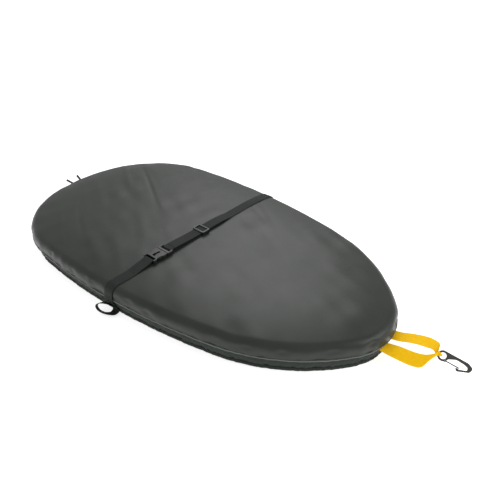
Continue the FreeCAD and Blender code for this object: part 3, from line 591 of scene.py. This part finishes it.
rimBand = dressed(solidified(makeBand(), band["skin"]), bandCloth)
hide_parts("rim_band")
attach(rimBand, "cover")


def makeHem():
    # a gathered sleeve round the cord, open at the stern
    s = np.linspace(sternAt + hem["mouth"], sternAt + roundLength - hem["mouth"], band["around"])
    edge, out = outlineAt(s)
    fold = gatherWave(s)
    fine = waves(s, 51, (9, 6.5, 5.2), roundLength)
    a = np.linspace(0, 2 * math.pi, 18, endpoint=False)
    # section: a rounded box, flattened where it rests
    side = np.sign(np.cos(a)) * np.abs(np.cos(a)) ** 0.8
    rise = np.sign(np.sin(a)) * np.abs(np.sin(a)) ** 0.8
    wide = hem["width"] / 2 * (1 + 0.10 * fine)
    tall = hem["height"] / 2 * (1 - 0.06 * fine)
    offset = -hem["inset"] + fold * hem["gather"] * 0.9
    lift = 0.5 + 0.5 * np.clip(fold, -1, 1)
    centreZ = hem["height"] / 2 + lift * 0.9
    grid = edge[None] + out[None] * (offset[None] + wide[None] * side[:, None])[..., None]
    z = centreZ[None] + tall[None] * rise[:, None]
    z = np.maximum(z, 0.05)
    rows = np.dstack([grid, z]).transpose(1, 0, 2)
    uv = np.stack([np.repeat(s[:, None], len(a), 1) * mm, np.repeat(a[None], len(s), 0) * 5 * mm], -1)
    return tubeMesh("hemTunnelCloth", rows, uv)


hemTunnel = dressed(makeHem(), bandCloth)
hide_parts("hem_tunnel")
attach(hemTunnel, "cover")


def roundSections(centre, side, up, radius, a):
    # a circle of points at angles a round each point of a path
    circle = side[:, None] * np.cos(a)[None, :, None] + up[:, None] * np.sin(a)[None, :, None]
    return centre[:, None] + radius * circle


def ringTube(name, insetAt, heightAt, radius, start, stop, count, sides=10, extraEnds=None):
    # a round tube along the outline
    s = np.linspace(start, stop, count)
    edge, out = outlineAt(s)
    centre = np.dstack([(edge - out * insetAt(s)[:, None])[None], heightAt(s)[None, :, None]])[0]
    side = np.hstack([out, np.zeros((count, 1))])
    up = np.repeat([[0, 0, 1.0]], count, 0)
    if extraEnds is not None:
        first, last = extraEnds
        centre = np.vstack([first, centre, last])
        side = np.vstack([np.repeat(side[:1], len(first), 0), side, np.repeat(side[-1:], len(last), 0)])
        up = np.repeat([[0, 0, 1.0]], len(centre), 0)
        run = unit(np.gradient(centre, axis=0))
        side = unit(np.cross(run, up))
    a = np.linspace(0, 2 * math.pi, sides, endpoint=False)
    grid = roundSections(centre, side, up, radius, a)
    along = np.concatenate([[0], np.cumsum(np.linalg.norm(np.diff(centre, axis=0), axis=1))])
    turned = np.repeat(a[None], len(centre), 0) * radius
    uv = np.stack([np.repeat(along[:, None], sides, 1) * mm, turned * mm], -1)
    return tubeMesh(name, grid, uv)


# the seam tape follows the deck's foot, pushed in and out a little by the gathers
seamTapePaintedHighlight = ringTube(
    "seamTapePaintedHighlight", lambda s: -0.2 - 0.45 * waves(s, 31, (29, 21, 15.5), roundLength),
    lambda s: piping["height"] + 0.5 * waves(s, 21, (60, 33, 19), roundLength),
    piping["radius"], 0, roundLength, 1300)
# the tape's pale colour is painted highlight along the seam
dressed(seamTapePaintedHighlight, pipingPaintedHighlight)
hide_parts("seam_piping")
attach(seamTapePaintedHighlight, "cover")
print("band and hem made")


# shock cord, its knot and its tails
def nodeBox(name):
    low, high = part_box(name)
    return np.array(low) / mm, np.array(high) / mm


knotLow, knotHigh = nodeBox("cord_knot")
knotMiddle = (knotLow + knotHigh) / 2


def cordEnd(side):
    # out of the tunnel, a bend, and on into the knot
    start = np.array([-cover["length"] / 2 + hem["inset"], side * (hem["mouth"] - 1.0), hem["height"] / 2])
    goal = knotMiddle + [1.5, side * 3.0, -1.0]
    away = start + [-1.2, -side * 7.0, 0.2]
    return smoothPath([start, away, (away + goal) / 2 + [-0.6, 0, 0], goal], 6)


firstEnd, lastEnd = cordEnd(-1)[::-1], cordEnd(1)
shockCord = ringTube(
    "shockCordBraid", lambda s: np.full(len(s), float(hem["inset"])),
    lambda s: np.full(len(s), hem["height"] / 2.0), cordSpec["radius"],
    sternAt + hem["mouth"], sternAt + roundLength - hem["mouth"], 700, 12, (firstEnd[:-1], lastEnd[1:]))
dressed(shockCord, cordSheath)
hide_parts("shock_cord")
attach(shockCord, "cover")


def makeKnot():
    # a trefoil: x = sin t + 2 sin 2t, y = cos t - 2 cos 2t, z = -sin 3t, fitted to the knot's size
    t = np.linspace(0, 2 * math.pi, 160, endpoint=False)
    path = np.stack([np.sin(t) + 2 * np.sin(2 * t), np.cos(t) - 2 * np.cos(2 * t), -np.sin(3 * t)], -1)
    room = (knotHigh - knotLow) / 2 - 2.7
    path = path / np.abs(path).max(0) * room + knotMiddle
    path = np.vstack([path, path[:1]])
    run = unit(np.gradient(path, axis=0))
    side = unit(np.cross(run, np.array([0.3, 0.2, 1.0])))
    up = np.cross(side, run)
    a = np.linspace(0, 2 * math.pi, 14, endpoint=False)
    grid = roundSections(path, side, up, 2.7, a)
    uv = np.zeros(grid.shape[:2] + (2,))
    return tubeMesh("cordKnot", grid, uv)


knot = dressed(makeKnot(), cordSheath)
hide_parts("cord_knot")
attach(knot, "cover")


def makeTail(name, nodeName, route):
    # straight runs joined by an arc that starts 0.45 of the shorter run from the corner
    points = [np.array(p, float) for p in route]
    line = [points[0]]
    for before, corner, after in zip(points, points[1:], points[2:]):
        shorter = min(np.linalg.norm(before - corner), np.linalg.norm(after - corner))
        line.append(corner + unit(before - corner) * 0.45 * shorter)
        line.append(corner)
        line.append(corner + unit(after - corner) * 0.45 * shorter)
    line.append(points[-1])
    curve = bpy.data.curves.new(name, "CURVE")
    curve.dimensions = "3D"
    curve.bevel_depth = cordSpec["radius"] * mm
    curve.bevel_resolution = 5
    curve.use_fill_caps = True
    spline = curve.splines.new("NURBS")
    spline.points.add(len(line) - 1)
    spline.points.foreach_set("co", np.hstack([np.array(line) * mm, np.ones((len(line), 1))]).reshape(-1))
    spline.order_u = 3
    spline.use_endpoint_u = True
    spline.resolution_u = 12
    obj = bpy.data.objects.new(name, curve)
    bpy.context.collection.objects.link(obj)
    curve.materials.append(cordSheath)
    bpy.context.view_layer.update()
    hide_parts(nodeName)
    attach(obj, "cover")


makeTail("cordTailLeft", "cord_tail_left", [(-466.5, 5, 10.5), (-476, 6, 33), (-487, -1.5, 56)])
makeTail("cordTailRight", "cord_tail_right", [(-466.5, -5, 10.5), (-486, -9, 28), (-505, -25, 45)])
print("cord made")


# the strap across the deck
strapThick = webbingBlack["thick"]
strapWide = webbingBlack["width"]
socketLow = nodeBox("buckle_socket")[0]
slideLow, slideHigh = nodeBox("tri_glide")
foldLow, foldHigh = nodeBox("strap_fold")
upperLow, upperHigh = nodeBox("strap_adjuster_upper")


def edgePath(side, innerY, foot):
    # (y, z) of the webbing's middle, from the foot up over the shoulder, 1 mm off the skin, in to innerY
    half = edgeHalfWidth(0)
    lift = 0.35 + strapThick / 2
    slope = math.radians(cover["crownSlope"])
    _, shoulderZ = skinHeight(0.0)
    lower = [
        (half - 5.4 + lift, foot), (half - 2.2 + lift, 22),
        (half + 1.5 + lift, 33), (half + 1.1 + lift, 38)]
    r = cover["shoulderRadius"]
    turn = [
        (half - r + (r + lift) * math.cos(a), shoulderZ + (r + lift) * math.sin(a))
        for a in np.linspace(0, math.pi / 2 - slope, 6)]
    inner = np.linspace(turn[-1][0] - 14, innerY, 5)
    top = [(y, float(skinHeight(half - y)[0]) + lift) for y in inner]
    return [(side * y, z) for y, z in lower + turn + top]


def flatRibbon(name, path, bend=None, cup=0.012):
    # path is (y, z); bend moves it in x where it wanders from a straight line
    path = np.array(path, float)
    x = bend(path[:, 0]) if bend else np.zeros(len(path))
    middles = np.column_stack([x, path])
    run = np.gradient(path, axis=0)
    normals = np.column_stack([np.zeros(len(path)), -run[:, 1], run[:, 0]])
    normals *= np.sign(run[0, 0] or 1)
    return ribbon(name, middles, np.repeat([[1.0, 0, 0]], len(path), 0), unit(normals),
                  np.full(len(path), strapWide), np.full(len(path), strapThick), 8, cup)


def nearWander(y):
    # the near end leans a little towards the stern as it goes down the side
    return -7.0 * smoothStep(-190, -256, y)


def makeNearStrap():
    # up the side, off the deck in a straight pull to the socket's bar, round it and back under itself
    over = edgePath(-1, 192, 9.5)
    y0 = socketLow[1]
    bar = (y0, y0 + 3.2, socketLow[2] + 2.6, socketLow[2] + 6.4)
    rise = [(-176, 72.2), (-162, 74.4), (y0 - 3, bar[3] + 0.2)]
    round_ = [(y0 + 0.4, bar[3] + 0.95), (y0 + 2.8, bar[3] + 0.85), (y0 + 4.1, (bar[2] + bar[3]) / 2),
              (y0 + 2.8, bar[2] - 0.85), (y0 + 0.2, bar[2] - 0.9), (y0 - 4, bar[2] + 0.55), (y0 - 24, 72.4)]
    return flatRibbon("strapNearWebbing", over + rise + round_, bend=nearWander)


nearStrap = dressed(makeNearStrap(), blackWeb)
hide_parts("strap_near")
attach(nearStrap, "cover")

strapTop = slideHigh[2] - 1.8 - 0.15 - strapThick / 2
deckLevel = cover["deckTop"] + 0.35 + strapThick / 2


def makeFarStrap():
    over = edgePath(1, 160, 8)[::-1]
    sag = [
        (-13.8, strapTop), (2, strapTop), (30, strapTop - 0.1), (52, strapTop - 0.3),
        (72, strapTop - 2.0), (92, deckLevel + 0.2), (125, deckLevel)]
    return flatRibbon("strapFarWebbing", sag + over)


farStrap = dressed(makeFarStrap(), blackWeb)
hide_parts("strap_far")
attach(farStrap, "cover")

upperZ = foldHigh[2] - strapThick / 2
upper = dressed(flatRibbon("strapUpperWebbing", [
    (upperLow[1], upperZ), (upperLow[1] + 12, upperZ - 0.2), (-50, (upperZ + strapTop) / 2 - 0.7),
    (-28, strapTop - 0.2), (upperHigh[1], strapTop)]), blackWeb)
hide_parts("strap_adjuster_upper")
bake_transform(upper)

barY = foldLow[1] + strapThick + 0.15
barZ = (foldLow[2] + strapThick + 0.15, foldHigh[2] - strapThick - 0.15)
fold = dressed(flatRibbon("strapFoldWebbing", [
    (foldHigh[1], barZ[1] + 0.75), (barY + 6, barZ[1] + 0.8), (barY + 1, barZ[1] + 0.75),
    (barY - 0.85, sum(barZ) / 2),
    (barY + 1, barZ[0] - 0.75), (barY + 6, barZ[0] - 0.8), (foldHigh[1], barZ[0] - 0.75)], cup=0), blackWeb)
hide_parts("strap_fold")
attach(fold, "plug")

# lower layer: from the fold back under the strap, and round the slider's middle bar; in two runs that meet,
# so that one follows the plug and the other the slider
coreLow, coreHigh = slideLow[2] + 0.3, slideLow[2] + 1.8
lowerStart = foldLow[2] + strapThick / 2
meetY = -42.0
returnBack = dressed(flatRibbon("strapReturnBack", [
    (foldHigh[1] + 0.1, lowerStart), (foldHigh[1] + 12, 71.5), (-60, deckLevel),
    (meetY, deckLevel - 0.05)], cup=0), blackWeb)
returnFront = dressed(flatRibbon("strapReturnFront", [
    (meetY, deckLevel - 0.05), (-24, deckLevel - 0.1), (-6, coreLow - 0.75), (1.6, coreLow - 0.75),
    (3.2, (coreLow + coreHigh) / 2), (1.6, coreHigh + 0.75), (-2.4, coreHigh + 0.7)], cup=0), blackWeb)
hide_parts("strap_return")
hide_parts("strap_return")
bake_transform(returnBack)
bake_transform(returnFront)


# rows of dense zigzag stitching that hold the strap's ends
def makeTacks():
    groups = []
    for side in (-1, 1):
        half = edgeHalfWidth(0)
        for row in (17, 26):
            out = half - 5.4 + 1.1 + (row - 9.5) / 23 * 7 + strapThick / 2 + 0.15
            x = np.linspace(-10, 10, 41) + (nearWander(np.array([-half]))[0] if side < 0 else 0)
            z = row + np.where(np.arange(41) % 2 == 0, 0.9, -0.9)
            groups.append(np.column_stack([x, side * (out + (z - row) * 0.3), z]))
    curve = bpy.data.curves.new("barTackStitches", "CURVE")
    curve.dimensions = "3D"
    curve.bevel_depth = 0.28 * mm
    curve.bevel_resolution = 1
    for points in groups:
        spline = curve.splines.new("POLY")
        spline.points.add(len(points) - 1)
        spline.points.foreach_set("co", np.hstack([points * mm, np.ones((len(points), 1))]).reshape(-1))
    obj = bpy.data.objects.new("barTackStitches", curve)
    bpy.context.collection.objects.link(obj)
    curve.materials.append(threadSpun)
    return obj


tacks = makeTacks()
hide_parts("bar_tacks")
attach(tacks, "cover")
print("strap made")


# grab loop
eye = np.array([542.2, 23.0, 33.5])
yaw, pitch, roll = math.radians(8), math.radians(3), math.radians(46)
hookAlong = np.array([math.cos(yaw) * math.cos(pitch), math.sin(yaw) * math.cos(pitch), -math.sin(pitch)])
hookLevel = unit(np.cross([0, 0, 1.0], hookAlong))
hookAcross = hookLevel * math.cos(roll) + np.cross(hookAlong, hookLevel) * math.sin(roll)
hookNormal = np.cross(hookAlong, hookAcross)


def wrapSection(along, aside, degrees, side, wide):
    turn = math.radians(degrees)
    middle = eye + hookAlong * along + hookNormal * side * aside
    return middle, hookAcross, hookNormal * side * math.cos(turn) + hookAlong * math.sin(turn), wide, 3.2


def makeGrabLoop():
    x0, y0, z0 = 455.4, 18.5, 30
    w, t = webbingYellow["width"], webbingYellow["thick"]
    sections = [
        ((x0 - 0.5, y0, z0), (-0.16, 1, 0), (0, 0, -1), w, t),
        ((x0 + 12, 20.5, z0 + 1.5), (-0.15, 1, 0), (0, 0, -1), w, t),
        ((x0 + 33, 28.5, z0 + 4), (-0.3, 0.95, 0), (0, 0, -1), w, t),
        ((x0 + 56, 35, z0 + 5), (-0.2, 0.95, 0.1), (0, 0.1, -1), w - 0.5, t),
        ((x0 + 71, 35, z0 + 4.2), (0.2, 0.95, 0.2), (0, 0.25, -1), w - 6, t + 0.5),
        wrapSection(-8.4, 4.5, 0, -1, 8), wrapSection(-5.2, 4.4, 0, -1, 6.4),
        wrapSection(-3.5, 3.6, 45, -1, 4.8),
        wrapSection(-2.8, 0, 90, -1, 4.6),
        wrapSection(-3.5, 3.6, 45, 1, 4.8), wrapSection(-5.2, 4.4, 0, 1, 6.4),
        wrapSection(-8.4, 4.5, 0, 1, 8),
        ((x0 + 75, 10.5, z0 + 4.5), (0.1, 0.7, 0.6), (0, -0.65, 0.7), w - 12, t + 1.0),
        ((x0 + 65, -4, z0 - 1.5), (-0.15, 0.8, 0.6), (0, -0.6, 0.8), w - 2, t),
        ((x0 + 48, -11, z0 - 2), (-0.15, 0.85, 0.5), (0, -0.5, 0.85), w, t),
        ((x0 + 26, -15.5, z0), (-0.12, 0.92, 0.36), (0, -0.36, 0.92), w, t),
        ((x0 + 10, -17.5, z0), (0.05, 0.98, 0.15), (0, -0.15, 1), w, t),
        ((x0 - 0.5, -y0, z0), (0.16, 1, 0), (0, 0, 1), w, t),
    ]
    middles, across, normals, widths, thicks = zip(*sections)
    return ribbon("grabLoopWebbing", middles, across, normals, widths, thicks, 9, 0.03)


grabLoop = dressed(makeGrabLoop(), yellowWeb)
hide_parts("grab_loop")
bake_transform(grabLoop)


# pull loop
def makePullLoop():
    w, t = 18.0, webbingBlack["thick"]
    half = edgeHalfWidth(0)
    first = -half + 6 - 0.3 - t / 2
    second = first - 0.15 - t
    edge, out = (0.996, 0.087, 0), (0.087, -0.996, 0)
    inwards = (-0.087, 0.996, 0)
    facing = (0.53, -0.63, 0.57)
    sections = [
        ((-1, first, 3.4), edge, inwards, w, t),
        ((-1, first - 0.1, 11.2), edge, inwards, w, t),
        ((-5, first - 3.4, 15.8), (0.95, -0.2, 0.3), (0, 0.5, 0.85), w - 1, t),
        ((-16, -253, 21.7), (0.75, -0.5, 0.45), (-0.3, 0.15, 0.95), w - 2, t),
        ((-26, -260.5, 20.5), facing, (-0.72, -0.1, 0.69), w - 3, t),
        ((-30, -264.5, 14.5), facing, (-0.8, -0.6, 0), w - 3, t),
        ((-24, -265.5, 8.6), facing, (-0.55, -0.33, -0.77), w - 3, t),
        ((-12, -263.5, 6.5), (0.6, -0.6, 0.5), (0, -0.25, -0.97), w - 3, t),
        ((-1, -257.5, 5.8), (0.85, -0.42, 0.3), (0.1, -0.1, -0.98), w - 2, t),
        ((3, -251.4, 5.2), (1, -0.15, 0.1), (0, 0.3, -0.95), w - 1, t),
        ((2.5, second - 0.9, 7.0), edge, (0, 0.85, -0.5), w, t),
        ((2, second, 12.5), edge, inwards, w, t),
    ]
    middles, across, normals, widths, thicks = zip(*sections)
    return ribbon("pullLoopWebbing", middles, across, normals, widths, thicks, 9, 0)


pullLoop = dressed(makePullLoop(), blackWeb)
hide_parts("pull_loop")
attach(pullLoop, "pull_loop")
print("loops made")


# moulded parts keep their CAD shape
for name in ("buckle_socket", "buckle_plug", "prong_left", "prong_right", "tri_glide"):
    dressed(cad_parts[name], acetalBlack)
for name in ("snap_hook_body", "snap_hook_gate"):
    dressed(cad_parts[name], acetalGrey)


# floor, light and camera
def makeFloor():
    # mostly self-lit white sweep, so that the shadow under the cover stays faint
    mesh = bpy.data.meshes.new("studioFloor")
    r = 12.0
    mesh.from_pydata([(-r, -r, 0), (r, -r, 0), (r, r, 0), (-r, r, 0)], [], [(0, 1, 2, 3)])
    obj = bpy.data.objects.new("studioFloor", mesh)
    obj.location.z = min(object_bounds()[0][2], 0) - 0.0004
    bpy.context.collection.objects.link(obj)
    material, _, surface = newMaterial("paperWhite")
    surface.inputs["Base Color"].default_value = (0.8, 0.8, 0.8, 1)
    surface.inputs["Roughness"].default_value = 0.9
    surface.inputs["Specular IOR Level"].default_value = 0.0
    surface.inputs["Emission Color"].default_value = (1, 1, 1, 1)
    surface.inputs["Emission Strength"].default_value = 0.72
    obj.data.materials.append(material)


makeFloor()

world = bpy.data.worlds.new("softRoom")
bpy.context.scene.world = world
world.use_nodes = True
room = world.node_tree
ambient = room.nodes["Background"]
ambient.inputs[0].default_value = (1.0, 1.0, 1.0, 1)
ambient.inputs[1].default_value = 0.62
# seen straight by the camera the room is plain white, as a backdrop would be
backdrop = node(room, "Background", None, {"Color": (1.0, 1.0, 1.0, 1), "Strength": 1.0})
rays = node(room, "LightPath")
choice = node(room, "MixShader", None, {0: rays.outputs["Is Camera Ray"]})
room.links.new(ambient.outputs[0], choice.inputs[1])
room.links.new(backdrop.outputs[0], choice.inputs[2])
room.links.new(choice.outputs[0], room.nodes["World Output"].inputs[0])


def areaLight(name, place, aim, size, watts):
    light = bpy.data.lights.new(name, "AREA")
    light.size = size
    light.energy = watts
    obj = bpy.data.objects.new(name, light)
    obj.location = place
    obj.rotation_euler = (Vector(aim) - Vector(place)).to_track_quat("-Z", "Y").to_euler()
    bpy.context.collection.objects.link(obj)


areaLight("overheadBox", (-0.9, 1.3, 1.7), (0, 0, 0.05), 1.3, 21)
areaLight("sideBox", (1.6, 0.5, 0.9), (0.3, 0, 0.05), 0.8, 9)

camera = bpy.data.cameras.new("camera")
camera.sensor_width = 36
camera.lens = 33.23
camera.clip_start = 0.01
cameraObj = bpy.data.objects.new("camera", camera)
cameraPlace, cameraAim = Vector((0.6359, -0.5929, 0.6205)), Vector((0.0925, 0.0572, 0.0300))
cameraObj.location = cameraPlace
cameraObj.rotation_euler = (cameraAim - cameraPlace).to_track_quat("-Z", "Y").to_euler()
bpy.context.collection.objects.link(cameraObj)
bpy.context.scene.camera = cameraObj
bpy.context.scene.view_settings.view_transform = "Standard"

print("scene made")
